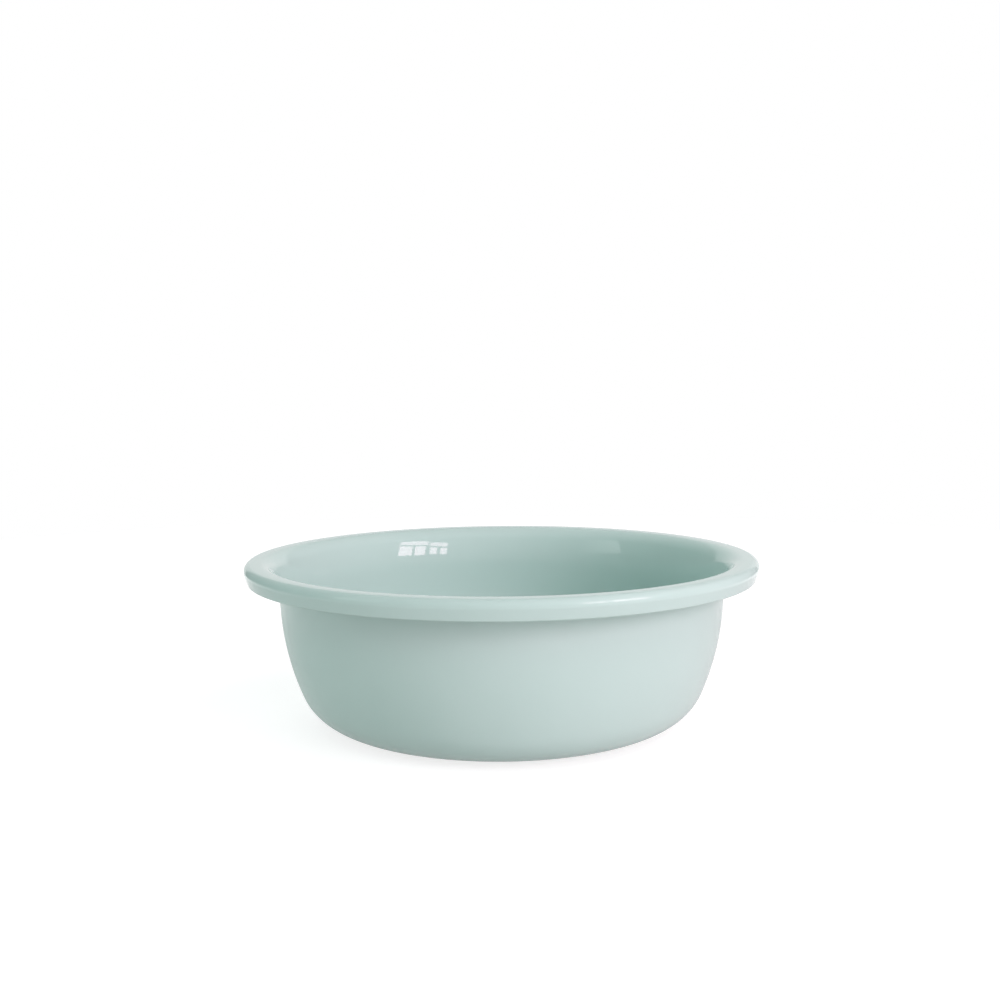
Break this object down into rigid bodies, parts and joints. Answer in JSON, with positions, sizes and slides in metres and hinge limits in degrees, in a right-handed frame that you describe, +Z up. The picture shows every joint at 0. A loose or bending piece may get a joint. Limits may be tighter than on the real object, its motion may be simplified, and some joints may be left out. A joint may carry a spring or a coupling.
{
  "type": "washing basin",
  "caption": "Round open basin with a curved wall, a wide turned-over rim to lift it by and a ring foot, moulded in one piece of glossy plastic, for holding water to wash in.",
  "frame": {"origin": "centre of the foot ring, on the surface that the basin stands on", "axes": "+Z up along the axis that the basin is turned about; X and Y are alike"},
  "size_m": [0.3199, 0.32, 0.104],
  "materials": {
    "gloss_polypropylene": "pale mint polypropylene, moulded glossy inside and on the rim, a little softer outside"
  },
  "bodies": {
    "root": {"basin": "gloss_polypropylene"}
  },
  "joints": []
}
